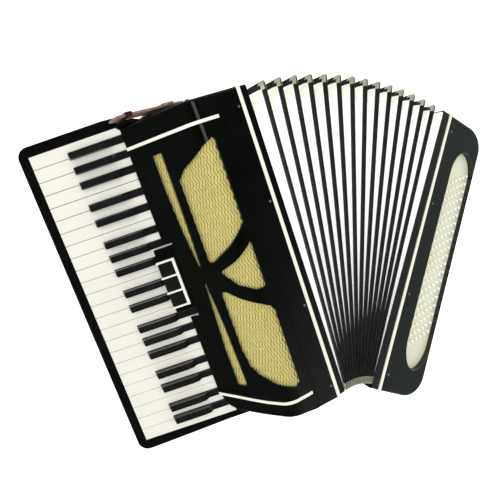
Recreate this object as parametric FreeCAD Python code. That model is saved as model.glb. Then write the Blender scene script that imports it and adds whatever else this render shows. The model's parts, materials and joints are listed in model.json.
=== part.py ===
import FreeCAD, Part

import math
import os

# Piano accordion with 41 treble keys and 120 bass buttons, lying on its back with the bellows fanned
# open. Millimetres. +X runs from the keyboard to the bass side, +Y towards the chin end, +Z up, out of
# the front of the instrument. Everything is drawn with x = 0 on the treble binding, y = 0 on the lower
# end wall and z = 0 on the ground, and is moved at the end to centre its bounding box on the origin.

# ---- driving dimensions -------------------------------------------------------------------------
CASE_LENGTH = 470.0          # chin end to lower end of both casings
BACK_Z = 14.0                # back of the casings above the ground
FRONT_Z = 204.0              # front of the casings
WALL = 4.0                   # celluloid-covered wooden walls
BINDING_WIDTH = 5.5          # white strip round each bellows edge
BINDING_Y = (-3.0, 470.4)    # ends of the treble binding
CLEAR = 0.35                 # gap between pieces that move past each other

KEY_PITCH = 19.5             # white key to white key
WHITE_KEYS = 24
KEY_GAP = 0.7
KEY_VISIBLE = 134.0          # white key front to the grille cover
KEY_THICK = 12.0
KEY_TILT = 24.0              # degrees that the keyboard falls away from the casing
KEY_EDGE_X = -144.0          # where the keys pass under the cover
KEY_EDGE_Z = 102.0
KEY_FIRST_Y = 6.3            # lower edge of the last white key
BLACK_START = 54.0           # black key front, from the white key front
BLACK_WIDTH = 9.6
BLACK_RISE = 9.4             # above the white keys
AXLE_S = 158.0               # key pivot, along the key from its front
AXLE_W = -9.0                # key pivot, below the white key surface
AXLE_R = 1.5
BORE_CLEARANCE = 0.05
PALLET_X = -34.8             # pallets rest just off the treble soundboard

SEAM_X = -35.0               # joint between grille cover and casing
ROLL_X = -60.0               # where the cover front starts to roll over
ROLL_R = 30.0
RISER_ANGLE = 55.0           # slope of the cover down to the keys
COVER_SKIN = 3.0
SPLIT_Z = 112.0              # joint between the cover's and the casing's end walls

FOLDS = 14
FOLD_PITCH = 3.58            # fold to fold at the tight lower end
FOLD_THICK = 2.6
FOLD_BAND = 8.0              # width of the taped edge of a fold
FOLD_LENGTH = 469.0
FAN_START_X = 14.4           # plane of the first bellows valley
FAN_FOOT_Y = -2.2            # lower end of the folds
FAN_ANGLE = 40.9             # treble casing to bass casing, fanned open
FAN_EASE = 0.045             # folds near the treble side open slightly further
BASS_SETBACK = 16.0          # last bellows valley to bass binding
BASS_DROP = -7.0             # lower end of the bass casing along its own axis
BASS_LENGTH = 479.5
BASS_WIDTH = 93.8            # bass casing, from its binding
BASS_CORNER = 38.0

BOARD_CENTRE = (62.2, 230.4)
BOARD_HALF = (29.1, 194.0)
BOARD_END = 48.0             # length of each half-oval end
BOARD_DEPTH = 10.0
BUTTON_ROWS = 6
BUTTON_COLUMNS = 20
BUTTON_R = 2.6
BUTTON_SLIP = 0.1            # radial clearance of a button in its hole

V = FreeCAD.Vector
nodes = {}


# ---- helpers ------------------------------------------------------------------------------------
def box(x, y, z):
    """Box from three (low, high) pairs."""
    return Part.makeBox(x[1] - x[0], y[1] - y[0], z[1] - z[0], V(x[0], y[0], z[0]))


def cylinder(radius, start, end):
    start, end = V(*start), V(*end)
    return Part.makeCylinder(radius, start.distanceToPoint(end), start, end.sub(start))


def prism(points, direction):
    """Extrude a closed polygon of 3-D points."""
    corners = [V(*p) for p in points]
    return Part.Face(Part.makePolygon(corners + corners[:1])).extrude(V(*direction))


def slab_y(points_xz, y0, y1):
    return prism([(x, y0, z) for x, z in points_xz], (0, y1 - y0, 0))


def slab_z(points_xy, z0, z1):
    return prism([(x, y, z0) for x, y in points_xy], (0, 0, z1 - z0))


def fuse(shapes):
    return shapes[0].multiFuse(shapes[1:]).removeSplitter() if len(shapes) > 1 else shapes[0]


def group(shapes):
    return Part.makeCompound(shapes)


def round_edges(shape, radius, chosen):
    edges = [e for e in shape.Edges if chosen(e)]
    return shape.makeFillet(radius, edges)


def along(edge, axis):
    """True for a straight edge parallel to an axis."""
    ends = [v.Point for v in edge.Vertexes]
    return len(ends) == 2 and abs(ends[1].sub(ends[0]).normalize().dot(V(*axis))) > 0.999


def ring(x, outer, inner):
    """Rectangular frame between two x planes, from outer and inner ((y0, y1), (z0, z1))."""
    return box(x, *outer).cut(box((x[0] - 1, x[1] + 1), *inner))


def grow(span, amount):
    return (span[0] - amount, span[1] + amount)


# ---- keyboard frame: s along the key from its front, w out of the white key surface -------------------
TILT = math.radians(KEY_TILT)
KEY_PLACE = FreeCAD.Placement(
    V(KEY_EDGE_X - KEY_VISIBLE * math.cos(TILT), 0, KEY_EDGE_Z - KEY_VISIBLE * math.sin(TILT)),
    FreeCAD.Rotation(V(0, 1, 0), -KEY_TILT))


def keyed(shape):
    """Move a shape drawn in (s, y, w) into place."""
    moved = shape.copy()
    moved.Placement = KEY_PLACE.multiply(moved.Placement)
    return moved


def key_point(s, w):
    point = KEY_PLACE.multVec(V(s, 0, w))
    return point.x, point.z


AXLE_X, AXLE_Z = key_point(AXLE_S, AXLE_W)
CASE_Y = (0.0, CASE_LENGTH)
CASE_Z = (BACK_Z, FRONT_Z)
INNER_Y = grow(CASE_Y, -WALL)
INNER_Z = grow(CASE_Z, -WALL)
RIM_X = (-BINDING_WIDTH / 2, BINDING_WIDTH / 2)


# ---- lower end of the treble side, seen from the front: it draws in towards the keyboard ---------
LOWER_END = [(-35, 1.4), (-44, 3.2), (-54, 6.0), (-64, 8.3), (-78, 9.6), (-95, 10.8), (-109, 12.6),
             (-120, 14.9), (-130, 18.0), (-136.5, 23.0), (-140.5, 31.0), (-142, 42.0)]


def curve(points, z):
    line = Part.BSplineCurve()
    line.interpolate([V(x, y, z) for x, y in points])
    return line.toShape()


def beyond_lower_end():
    """Everything past the lower end of the cover."""
    z = 60.0
    chain = [V(-160, 42, z), V(-160, -30, z), V(-20, -30, z), V(-20, -1, z), V(-35, 1.4, z)]
    edges = [curve(LOWER_END, z), Part.makeLine(V(-142, 42, z), chain[0])]
    edges += [Part.makeLine(a, b) for a, b in zip(chain, chain[1:])]
    return Part.Face(Part.Wire(Part.__sortEdges__(edges))).extrude(V(0, 0, 200))


# ---- grille cover profile -----------------------------------------------------------------------
RISE = math.radians(RISER_ANGLE)
ROLL_CENTRE = V(ROLL_X, 0, FRONT_Z - ROLL_R)
RISER_LENGTH = 108.0


def cover_points(inset):
    """Corner points of the cover outline, moved inwards: seam, roll start, mid, end and riser foot."""
    radius = ROLL_R - inset

    def on_roll(angle):
        return ROLL_CENTRE + V(-radius * math.sin(angle), 0, radius * math.cos(angle))

    end = on_roll(RISE)
    foot = end - V(math.cos(RISE), 0, math.sin(RISE)) * RISER_LENGTH
    return V(SEAM_X, 0, FRONT_Z - inset), on_roll(0), on_roll(RISE / 2), end, foot


def outline_edges(points):
    seam, start, middle, end, foot = points
    return [Part.makeLine(seam, start), Part.Arc(start, middle, end).toShape(), Part.makeLine(end, foot)]


def cover_shell(outer_inset, inner_inset, y0, y1):
    outer, inner = cover_points(outer_inset), cover_points(inner_inset)
    edges = outline_edges(outer) + [Part.makeLine(outer[4], inner[4])] + outline_edges(inner)
    edges.append(Part.makeLine(inner[0], outer[0]))
    face = Part.Face(Part.Wire(Part.__sortEdges__(edges)))
    face.translate(V(0, y0, 0))
    return face.extrude(V(0, y1 - y0, 0))


def cover_end(inset, y0, y1):
    """Solid slice of the whole cover outline down to the split with the casing."""
    points = cover_points(inset)
    low = [V(KEY_EDGE_X - 8, 0, KEY_EDGE_Z - 4), V(-137, 0, KEY_EDGE_Z + 4),
           V(-131, 0, SPLIT_Z + CLEAR), V(SEAM_X, 0, SPLIT_Z + CLEAR)]
    edges = outline_edges(points)
    chain = [points[4]] + low + [points[0]]
    edges += [Part.makeLine(a, b) for a, b in zip(chain, chain[1:]) if a.distanceToPoint(b) > 1e-6]
    face = Part.Face(Part.Wire(Part.__sortEdges__(edges)))
    face.translate(V(0, y0, 0))
    return face.extrude(V(0, y1 - y0, 0))


WINDOWS = {
    "upper": ([(-54.5, 419), (-72, 411), (-98, 389), (-105, 377), (-105, 258), (-101, 255.5),
               (-64, 291), (-54.5, 300)], 3.0),
    "middle": ([(-54.5, 272), (-98, 241), (-86, 220), (-67, 207), (-53, 205.5), (-53, 270)], 2.5),
    "lower": ([(-104, 216), (-88, 199), (-57, 178), (-52, 169), (-52, 53), (-60, 51.5), (-82, 64),
               (-95, 79), (-101.5, 94), (-104, 120)], 3.0),
    "slot_upper": ([(-121.5, 420), (-112.3, 420), (-113, 340), (-114, 250), (-116.5, 256),
                    (-120.2, 318), (-121.5, 370)], 0.6),
    "slot_lower": ([(-115.2, 228), (-112.6, 160), (-111, 60), (-120, 60), (-120.4, 120), (-118, 190),
                    (-116.8, 226)], 0.6),
}
SLIP_X = -123.0              # the cover steps in below this line
SLIP_STEP = 1.5
SLIP_Y = (50.0, 428.0)
NOTCH_Y = (178.0, 300.0)     # gap in the cover for the register switches
TRIM_Y = 440.2               # chin end trim
LOWER_TRIM = [(-30, 30.0), (-46, 30.8), (-60, 32.3), (-80, 33.0), (-97, 34.0), (-111, 36.8), (-126, 40.8),
              (-145, 45.2)]
TRIM_WIDTH = 4.4
SWITCH_Y = (200.0, 274.0)    # the white switch frame
SWITCH_FLOOR = 8.0           # its height above the white keys


def rounded_prism(points, radius, z0, z1):
    """Extrude an (x, y) polygon with its corners rounded as far as its sides allow."""
    corners = [V(x, y, z0) for x, y in points]
    edges, last, first = [], None, None
    for index, corner in enumerate(corners):
        before, after = corners[index - 1] - corner, corners[(index + 1) % len(corners)] - corner
        half = before.getAngle(after) / 2
        reach = min(radius / math.tan(half), 0.45 * before.Length, 0.45 * after.Length)
        start = corner + V(before).normalize() * reach
        end = corner + V(after).normalize() * reach
        inward = (V(before).normalize() + V(after).normalize()).normalize()
        bow = reach * math.tan(half)
        middle = corner + inward * (bow / math.sin(half) - bow)
        if last is not None:
            edges.append(Part.makeLine(last, start))
        first = first or start
        edges.append(Part.Arc(start, middle, end).toShape())
        last = end
    edges.append(Part.makeLine(last, first))
    return Part.Face(Part.Wire(edges)).extrude(V(0, 0, z1 - z0))


def window_cutter(points, radius):
    return rounded_prism(points, radius, KEY_EDGE_Z - 20, FRONT_Z + 10)


def make_grille_cover():
    skin = cover_shell(0, COVER_SKIN, *CASE_Y)
    hollow = slab_z([(-34, 5.8), (-46, 5.8), (-58, 14.4), (-111, 14.4), (-112, 19), (-34, 19)], 60, 260)
    ends = [cover_end(0, CASE_Y[0], 18).cut(hollow), cover_end(0, INNER_Y[1], CASE_Y[1])]
    cover = fuse([skin] + ends)
    cover = round_edges(cover, 3.5, lambda e: on_outer_end(e) and e.BoundBox.YMin > 400)
    cover = cover.cut(beyond_lower_end())
    cover = round_edges(cover, 2.5, lambda e: on_lower_end(e))
    cutters = [window_cutter(points, radius) for points, radius in WINDOWS.values()]
    slope = V(-math.sin(RISE), 0, math.cos(RISE))
    down = V(-math.cos(RISE), 0, -math.sin(RISE))
    end = cover_points(0)[3]
    top = end + down * ((end.x - SLIP_X) / math.cos(RISE))
    lift = slope * -SLIP_STEP
    corners = [top + lift, top + down * 34, top + down * 34 + slope * 20, top + slope * 20]
    cutters.append(slab_y([(c.x, c.z) for c in corners], *SLIP_Y))
    cutters.append(keyed(box((100, 143), (-20, CASE_LENGTH + 20), (-40, 3.7))))
    cutters.append(keyed(box((100, 149.5), NOTCH_Y, (-40, 40))))
    cutters.append(cover_shell(-0.5, 1.0, -20, 500).common(box((SEAM_X - 0.5, 0), (-20, 500), (0, 300))))
    cover = cover.cut(group(cutters))
    base = keyed(box((119.5, 160), (193, 292), (4.2, SWITCH_FLOOR)))
    shelf = keyed(box((149, 166), grow(NOTCH_Y, 2), (4.2, SWITCH_FLOOR)))
    return fuse([cover, base, shelf])


def on_outer_end(edge):
    """Edges where the cover's outer skin meets its end walls."""
    middle = edge.valueAt((edge.FirstParameter + edge.LastParameter) / 2)
    at_end = min(abs(middle.y - CASE_Y[0]), abs(middle.y - CASE_Y[1])) < 1e-6
    flat = all(abs(v.Point.y - middle.y) < 1e-6 for v in edge.Vertexes)
    points = cover_points(0)
    on_skin = any(e.distToShape(Part.Vertex(V(middle.x, 0, middle.z)))[0] < 1e-4
                  for e in outline_edges(points))
    return at_end and flat and on_skin


def on_lower_end(edge):
    """Edges where the cover's outer skin meets its drawn-in lower end."""
    middle = edge.valueAt((edge.FirstParameter + edge.LastParameter) / 2)
    wall = curve(LOWER_END, 60)
    on_skin = any(e.distToShape(Part.Vertex(V(middle.x, 0, middle.z)))[0] < 1e-3
                  for e in outline_edges(cover_points(0)))
    return on_skin and wall.distToShape(Part.Vertex(V(middle.x, middle.y, 60)))[0] < 1e-3


def make_grille_mesh():
    sheet = cover_shell(COVER_SKIN + 0.1, COVER_SKIN + 0.9, 47, 423)
    return sheet.common(box((-122.5, -46), (40, 430), (SPLIT_Z + 12, FRONT_Z)))


def make_cover_trim():
    strips = []
    half = TRIM_WIDTH / 2
    lower = slab_z([(x, y - half) for x, y in LOWER_TRIM] + [(x, y + half) for x, y in reversed(LOWER_TRIM)],
                   60, 260)
    for strip in (cover_shell(-0.7, 0, TRIM_Y - half, TRIM_Y + half),
                  cover_shell(-0.7, 0, 20, 60).common(lower)):
        strip = strip.cut(box((-39, 0), CASE_Y, (0, 300)))
        strips.append(strip.cut(keyed(box((100, 143), (-20, 500), (-40, 4.2)))))
    return group(strips)


# ---- treble casing ------------------------------------------------------------------------------
SIDE_X = -150.0              # casing's left side, under the keys


def make_treble_case():
    hoop = ring((SEAM_X, RIM_X[0]), ((-3.0, CASE_LENGTH), CASE_Z), (INNER_Y, INNER_Z))
    hoop = hoop.cut(slab_z([(SEAM_X - 1, 1.54), (RIM_X[0] + 1, -3.14), (0, -9), (SEAM_X - 1, -9)], 0, 300))
    hoop = round_edges(hoop, 3.5, lambda e: e.Length > 30 and outside(e))
    back = box((SIDE_X, SEAM_X), CASE_Y, (BACK_Z, BACK_Z + WALL))
    side = box((SIDE_X, SIDE_X + WALL), CASE_Y, (BACK_Z, 83))
    profile = [(SIDE_X, BACK_Z), (SEAM_X, BACK_Z), (SEAM_X, SPLIT_Z), (-130.5, SPLIT_Z),
               (-137, 90), (SIDE_X, 83)]
    raised = [(SIDE_X, BACK_Z), (SEAM_X, BACK_Z), (SEAM_X, SPLIT_Z), (-122.5, SPLIT_Z), (-131, 108.2),
              (SIDE_X, 99.8)]
    ends = [slab_y(raised, CASE_Y[0], 5.8), slab_y(profile, INNER_Y[1], CASE_Y[1])]
    hole = cylinder(AXLE_R, (AXLE_X, CASE_Y[0] + 1, AXLE_Z), (AXLE_X, CASE_Y[1] - 1, AXLE_Z))
    return fuse([hoop, back, side] + ends).cut(hole)


def outside(edge):
    """Long edges at the front and back of the casing's end walls."""
    spot, size = edge.Vertexes[0].Point, edge.BoundBox
    level = size.ZLength < 1e-6 and min(abs(spot.z - FRONT_Z), abs(spot.z - BACK_Z)) < 1e-6
    return level and size.YLength < 6 and (size.YMin > CASE_Y[1] - 1e-6 or size.YMax < 2)


def make_key_axle():
    return cylinder(AXLE_R, (AXLE_X, CASE_Y[0] + 1, AXLE_Z), (AXLE_X, CASE_Y[1] - 1, AXLE_Z))


BED_Y = (-10.2, 489.3)
BED_S = (-14.7, 175.0)


def make_keyboard_bed():
    outline = [(BED_S[0], BED_Y[0]), (8, BED_Y[0]), (73, -7.4), (137, -4.4), (BED_S[1], -4.0),
               (BED_S[1], CASE_LENGTH + 1), (136, 487.5), (114, BED_Y[1]), (BED_S[0], BED_Y[1])]
    bed = slab_z(outline, -27, 0.5)
    bed = round_edges(bed, 16, lambda e: along(e, (0, 0, 1)) and e.Vertexes[0].Point.x < BED_S[0] + 1)
    bed = round_edges(bed, 3, lambda e: e.BoundBox.ZMin > 0.4 and e.BoundBox.XMin < 100)
    tray = box((-1, 300), (KEY_FIRST_Y - 0.1, KEY_FIRST_Y + WHITE_KEYS * KEY_PITCH + 0.1), (-18, 10))
    rail_top = box((-40, -1), grow(BED_Y, -18), (-1.0, 10))
    bed = keyed(bed.cut(group([tray, rail_top])))
    inside_case = box((SIDE_X, 0), CASE_Y, (-50, 300))
    return bed.cut(inside_case)


# ---- treble keys --------------------------------------------------------------------------------
NOTES = ["f", "g", "a", "b", "c", "d", "e"]          # white notes downwards from the chin end
SHARPS = {"f": 2.5, "g": 0.2, "a": -2.8, "c": 2.1, "d": -2.3}      # black key offsets from the boundary
TAIL_END = 150.0


def boundary_y(index):
    """Boundary between white keys index - 1 and index, counted from the chin end."""
    return KEY_FIRST_Y + (WHITE_KEYS - index) * KEY_PITCH


def black_centre(index):
    """Black key between white keys index - 1 and index, or None."""
    upper = NOTES[(index - 1) % len(NOTES)]
    if not 0 < index < WHITE_KEYS or upper not in SHARPS:
        return None
    return boundary_y(index) + SHARPS[upper]


def lever(y, joints, thick, pallet_z, pallet_y):
    """Bar from the key tail to the pallet that covers the reed holes, with the pallet itself."""
    upper = [(x, z + thick / 2) for x, z in joints]
    lower = [(x, z - thick / 2) for x, z in reversed(joints)]
    bar = slab_y(upper + lower, y - 1, y + 1)
    pallet = box((PALLET_X - 5, PALLET_X), pallet_y, pallet_z)
    return [bar, pallet]


def key_bore():
    return cylinder(AXLE_R + BORE_CLEARANCE, (AXLE_X, -20, AXLE_Z), (AXLE_X, CASE_LENGTH + 20, AXLE_Z))


def make_white_key(index):
    low, high = boundary_y(index + 1) + KEY_GAP / 2, boundary_y(index) - KEY_GAP / 2
    tail_low, tail_high = low, high
    half = BLACK_WIDTH / 2 + KEY_GAP
    above, below = black_centre(index), black_centre(index + 1)
    if above is not None:
        tail_high = above - half
    if below is not None:
        tail_low = below + half
    cut_s = BLACK_START - KEY_GAP
    end_high = min(tail_high, INNER_Y[1] - CLEAR)
    end_low = max(tail_low, INNER_Y[0] + CLEAR)
    outline = [(0, low), (cut_s, low), (cut_s, tail_low), (TAIL_END, end_low), (TAIL_END, end_high)]
    outline += [(137, end_high), (129, tail_high)] if end_high < tail_high else []
    outline += [(cut_s, tail_high), (cut_s, high), (0, high)]
    outline = [p for i, p in enumerate(outline) if p != outline[i - 1]]
    body = slab_z(outline, -KEY_THICK, 0)
    body = round_edges(body, 0.7, lambda e: e.BoundBox.ZMin > -1e-6 and e.BoundBox.XMin < 100)
    hub = box((TAIL_END - 1, AXLE_S + 6), (max(end_low, (end_low + end_high) / 2 - 4),
                                           min(end_high, (end_low + end_high) / 2 + 4)), (-KEY_THICK, -5))
    middle = (low + high) / 2
    pallet_y = (max(middle - 8.5, INNER_Y[0] + 0.6), min(middle + 8.5, INNER_Y[1] - 0.6))
    joints = [(AXLE_X + 2, AXLE_Z + 2), (-62, 128), (PALLET_X - 4, 138)]
    lever_y = max((end_low + end_high) / 2, 16.0)
    pieces = [keyed(body), keyed(hub)] + lever(lever_y, joints, 5, (128, 148), pallet_y)
    key = fuse(pieces).cut(key_bore())
    head = keyed(box((-5, cut_s), (low - 1, high + 1), (-KEY_THICK - 2, 2)))
    return [key.common(head), key.cut(head)]          # the head is glued to the front of the tail


def make_black_key(index):
    middle = black_centre(index)
    low, high = middle - BLACK_WIDTH / 2, middle + BLACK_WIDTH / 2
    side = [(BLACK_START, -KEY_THICK), (BLACK_START, 1), (BLACK_START + 3.5, BLACK_RISE),
            (104, BLACK_RISE), (106.5, 7.6), (113.5, 7.4), (117.5, 2.5), (TAIL_END, 2.5), (TAIL_END, -KEY_THICK)]
    body = prism([(s, low, w) for s, w in side], (0, BLACK_WIDTH, 0))
    body = round_edges(body, 1.4, lambda e: e.BoundBox.ZMax > BLACK_RISE - 1e-6 and e.BoundBox.XMax < 104.5)
    hub = box((TAIL_END - 1, AXLE_S + 6), (middle - 4, middle + 4), (-KEY_THICK, -5))
    joints = [(AXLE_X + 2, AXLE_Z + 2), (-103, 132), (-62, 160), (PALLET_X - 4, 168)]
    pieces = [keyed(body), keyed(hub)] + lever(middle, joints, 5, (156, 180), grow((middle, middle), 4.75))
    return fuse(pieces).cut(key_bore())


def make_keys():
    for start, note in enumerate(NOTES):
        whites = [piece for i in range(start, WHITE_KEYS, len(NOTES)) for piece in make_white_key(i)]
        nodes["white_keys_" + note] = group(whites)
    for name, notes in (("black_keys_in_pairs", "cd"), ("black_keys_in_threes", "fga")):
        spots = [i for i in range(1, WHITE_KEYS) if black_centre(i) and NOTES[(i - 1) % 7] in notes]
        nodes[name] = group([make_black_key(i) for i in spots])


# ---- register switches --------------------------------------------------------------------------
SWITCH_S = (118.5, 139.0)
SWITCH_W = (SWITCH_FLOOR + 0.3, SWITCH_FLOOR + 4.3)


def switch_cells():
    """(low, high) of each switch along y, chin end first."""
    pitch = (SWITCH_Y[1] - SWITCH_Y[0] - 3.0) / 3
    return [(SWITCH_Y[1] - 3 - pitch * (i + 1) + 3.4, SWITCH_Y[1] - 3.4 - pitch * i) for i in range(3)]


def make_register_frame():
    spine = box((140.2, 144.2), SWITCH_Y, (SWITCH_FLOOR, 12.0))
    bars = []
    edges = [SWITCH_Y[1]] + [low for low, _ in switch_cells()]
    for index, edge in enumerate(edges):
        top = edge if index == 0 else edge - 0.4
        bars.append(box((117, 141), (top - 2.6, top), (SWITCH_FLOOR, 12.0)))
    frame = fuse([spine] + bars)
    return keyed(frame)


def make_register_switch(cell):
    low, high = cell
    key = box(SWITCH_S, (low + 0.4, high - 0.4), SWITCH_W)
    key = round_edges(key, 0.8, lambda e: e.BoundBox.ZMin > SWITCH_W[1] - 1e-6)
    under = prism([(SWITCH_S[0] - 1, low - 1, SWITCH_W[0] - 1), (136, low - 1, SWITCH_W[0] - 1),
                   (136, low - 1, SWITCH_W[0] + 0.01), (SWITCH_S[0] - 1, low - 1, SWITCH_W[0] + 2.4)],
                  (0, high - low + 2, 0))
    return keyed(key.cut(under))


# ---- inside the treble side ---------------------------------------------------------------------
def make_treble_soundboard():
    board = box((PALLET_X + 0.3, -31), INNER_Y, INNER_Z)
    holes = []
    for index in range(WHITE_KEYS):
        middle = boundary_y(index) - KEY_PITCH / 2
        holes.append(box((-40, -20), (max(middle - 5.5, INNER_Y[0] + 2), min(middle + 5.5, INNER_Y[1] - 4)),
                         (131, 145)))
        centre = black_centre(index)
        if centre is not None:
            holes.append(box((-40, -20), grow((centre, centre), 3.2), (159, 177)))
    return board.cut(group(holes))


TREBLE_BLOCK_Z = [44.0, 78.0, 112.0, 146.0]
BASS_BLOCK_Z = [58.0, 112.0]
BLOCK_THICK = 16.0
PLATE_PITCH = 18.5


def reed_block(x_root, x_tip, z):
    """Tapered wooden comb that carries the reed plates, its base on the soundboard."""
    taper = 3.0 if x_tip > x_root else -3.0
    profile = [(x_root, z), (x_tip, z + abs(taper)), (x_tip, z + BLOCK_THICK - abs(taper)),
               (x_root, z + BLOCK_THICK)]
    return slab_y(profile, 36, 434)


def reed_plates(x_root, x_tip, z):
    direction = 1 if x_tip > x_root else -1
    plates = []
    for index in range(21):
        y = 40 + index * PLATE_PITCH
        for low in (z - 1.9, z + BLOCK_THICK - 3):
            x = sorted((x_root + direction * 8, x_tip - direction * 3))
            plates.append(box(x, (y, y + PLATE_PITCH - 2), (low, low + 4.9)))
    return plates


def reed_blocks(x_root, x_tip, levels):
    """Blocks with the metal reed plates waxed to both faces."""
    return group([fuse([reed_block(x_root, x_tip, z)] + reed_plates(x_root, x_tip, z)) for z in levels])


# ---- bellows ------------------------------------------------------------------------------------
FAN = math.radians(FAN_ANGLE)


def fold_angle(index):
    part = index / (FOLDS + 1)
    return FAN * (part + FAN_EASE * part * (1 - part))


def fold_foot(index):
    """Lower end of fold plane index at rest, fold 0 being the treble frame."""
    x, y = FAN_START_X, FAN_FOOT_Y
    for step in range(1, index + 1):
        middle = (fold_angle(step) + fold_angle(step - 1)) / 2
        x += FOLD_PITCH * math.cos(middle)
        y -= FOLD_PITCH * math.sin(middle)
    return x, y


def fanned(shape, foot, angle):
    """Place a shape drawn upright with its foot at x = 0, y = 0."""
    moved = shape.copy()
    turn = FreeCAD.Placement(V(foot[0], foot[1], 0), FreeCAD.Rotation(V(0, 0, 1), -math.degrees(angle)))
    moved.Placement = turn.multiply(moved.Placement)
    return moved


def swing_pole(foot, closed, angle):
    """Fixed point of the rotation that carries a resting piece to its place in the closed bellows."""
    c, s = math.cos(angle), math.sin(angle)
    tx = closed[0] - (c * foot[0] - s * foot[1])
    ty = closed[1] - (s * foot[0] + c * foot[1])
    scale = 2 * (1 - c)
    return ((1 - c) * tx - s * ty) / scale, (s * tx + (1 - c) * ty) / scale


FOLD_Y = (0.0, FOLD_LENGTH)
FOLD_Z = (BACK_Z + 4.0, FRONT_Z - 0.5)
CORNER_LEG = 11.0


def make_fold(index):
    """One taped fold edge with its four metal corners."""
    half = FOLD_THICK / 2
    band = ring((-half, half), (FOLD_Y, FOLD_Z), (grow(FOLD_Y, -FOLD_BAND), grow(FOLD_Z, -FOLD_BAND)))
    band = round_edges(band, 3, lambda e: along(e, (1, 0, 0)) and at_corner(e))
    return fanned(band, fold_foot(index), fold_angle(index))


def at_corner(edge):
    point = edge.Vertexes[0].Point
    return min(abs(point.y - FOLD_Y[0]), abs(point.y - FOLD_Y[1])) < 1e-6


CLOSED_BASS_FOOT = (FAN_START_X + (FOLDS + 1) * FOLD_PITCH + BASS_SETBACK, BINDING_Y[0] - BASS_DROP - 1.5)
BASS_FOOT = (fold_foot(FOLDS + 1)[0] + BASS_SETBACK * math.cos(FAN),
             fold_foot(FOLDS + 1)[1] - BASS_SETBACK * math.sin(FAN))


def bass(shape):
    """Place a shape drawn with the bass binding on x = 0 and its axis along y."""
    return fanned(shape, BASS_FOOT, FAN)


# ---- bass side ----------------------------------------------------------------------------------
BASS_Y = (BASS_DROP, BASS_DROP + BASS_LENGTH)
BASS_INNER_Y = grow(BASS_Y, -WALL)


def bass_body(inset, low_x):
    """Rounded bass casing outline as a solid, moved inwards by inset."""
    radius = BASS_CORNER - inset
    body = box((low_x, BASS_WIDTH - inset), grow(BASS_Y, -inset), grow(CASE_Z, -inset))
    return round_edges(body, radius, lambda e: along(e, (0, 0, 1)) and e.BoundBox.XMin > low_x + 1)


def oval(grow_by, z0, z1):
    """Long oval: straight sides and half-ellipse ends."""
    cx, cy = BOARD_CENTRE
    half_x, half_y = BOARD_HALF[0] + grow_by, BOARD_HALF[1] + grow_by
    end = BOARD_END + grow_by
    edges = []
    for sign in (1, -1):
        centre = V(cx, cy + sign * (half_y - end), z0)
        major, minor = (end, half_x) if end > half_x else (half_x, end)
        tip = centre + V(0, sign * end, 0)
        side = centre + V(half_x, 0, 0)
        ellipse = Part.Ellipse(tip, side, centre)
        sides = [centre + V(half_x, 0, 0), centre - V(half_x, 0, 0)]
        params = sorted(ellipse.parameter(p) for p in sides)
        arc = Part.ArcOfEllipse(ellipse, params[0], params[1])
        if arc.value((params[0] + params[1]) / 2).distanceToPoint(tip) > 1e-3:
            arc = Part.ArcOfEllipse(ellipse, params[1], params[0] + 2 * math.pi)
        edges.append(arc.toShape())
    reach = half_y - end
    for sign in (1, -1):
        edges.append(Part.makeLine(V(cx + sign * half_x, cy - reach, z0), V(cx + sign * half_x, cy + reach, z0)))
    return Part.Face(Part.Wire(Part.__sortEdges__(edges))).extrude(V(0, 0, z1 - z0))


def make_bass_case():
    floor_z = FRONT_Z - BOARD_DEPTH
    shell = bass_body(0, RIM_X[1])
    shell = round_edges(shell, 6, lambda e: e.BoundBox.ZMin > FRONT_Z - 1e-6 and e.BoundBox.XMax > 10)
    shell = shell.cut(bass_body(WALL, RIM_X[1] - 1))
    collar = oval(WALL, floor_z - 4, FRONT_Z - 3).common(bass_body(0.1, RIM_X[1]))
    shell = fuse([shell, collar]).cut(oval(0, floor_z - 10, FRONT_Z + 1))
    air_hole = cylinder(6.5, (BASS_WIDTH - 20, 405, 110), (BASS_WIDTH + 20, 405, 110))
    return bass(shell.cut(air_hole))


def button_spots(row):
    """Button centres of one row: rows step sideways and slightly towards the chin."""
    x = 43.3 + 7.75 * row
    return [(x, 75.2 + 5.9 * row + 14.93 * column) for column in range(BUTTON_COLUMNS)]


def make_bass_button_board():
    floor_z = FRONT_Z - BOARD_DEPTH
    plate = oval(-0.1, floor_z - 3, floor_z)
    holes = [cylinder(BUTTON_R + BUTTON_SLIP, (x, y, floor_z - 5), (x, y, floor_z + 2))
             for row in range(BUTTON_ROWS) for x, y in button_spots(row)]
    return bass(plate.cut(group(holes)))


def make_button(x, y):
    floor_z = FRONT_Z - BOARD_DEPTH
    stem = cylinder(BUTTON_R, (x, y, floor_z - 12), (x, y, floor_z + 5))
    stem = round_edges(stem, 1.1, lambda e: e.BoundBox.ZMin > floor_z + 4.9)
    collar = cylinder(3.3, (x, y, floor_z - 7), (x, y, floor_z - 4))
    return stem.fuse(collar)


def make_button_row(row):
    return bass(group([make_button(x, y) for x, y in button_spots(row)]))


def make_bass_strap():
    """Wide leather hand strap, bowed out from the casing's outer side."""
    face = BASS_WIDTH
    outer = [V(face + 4, 22, 0), V(face + 34, 225, 0), V(face + 4, 428, 0)]
    inner = [V(face + 0.2, 22, 0), V(face + 30, 225, 0), V(face + 0.2, 428, 0)]
    edges = [Part.Arc(*outer).toShape(), Part.Arc(*inner).toShape(),
             Part.makeLine(outer[0], inner[0]), Part.makeLine(outer[2], inner[2])]
    band = Part.Face(Part.Wire(Part.__sortEdges__(edges))).extrude(V(0, 0, 66))
    band.translate(V(0, 0, 52))
    return bass(band.cut(box((face - 60, face + 0.2), (0, 500), (0, 300))))


WHEEL_Y = BASS_Y[1] + 8.0


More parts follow.
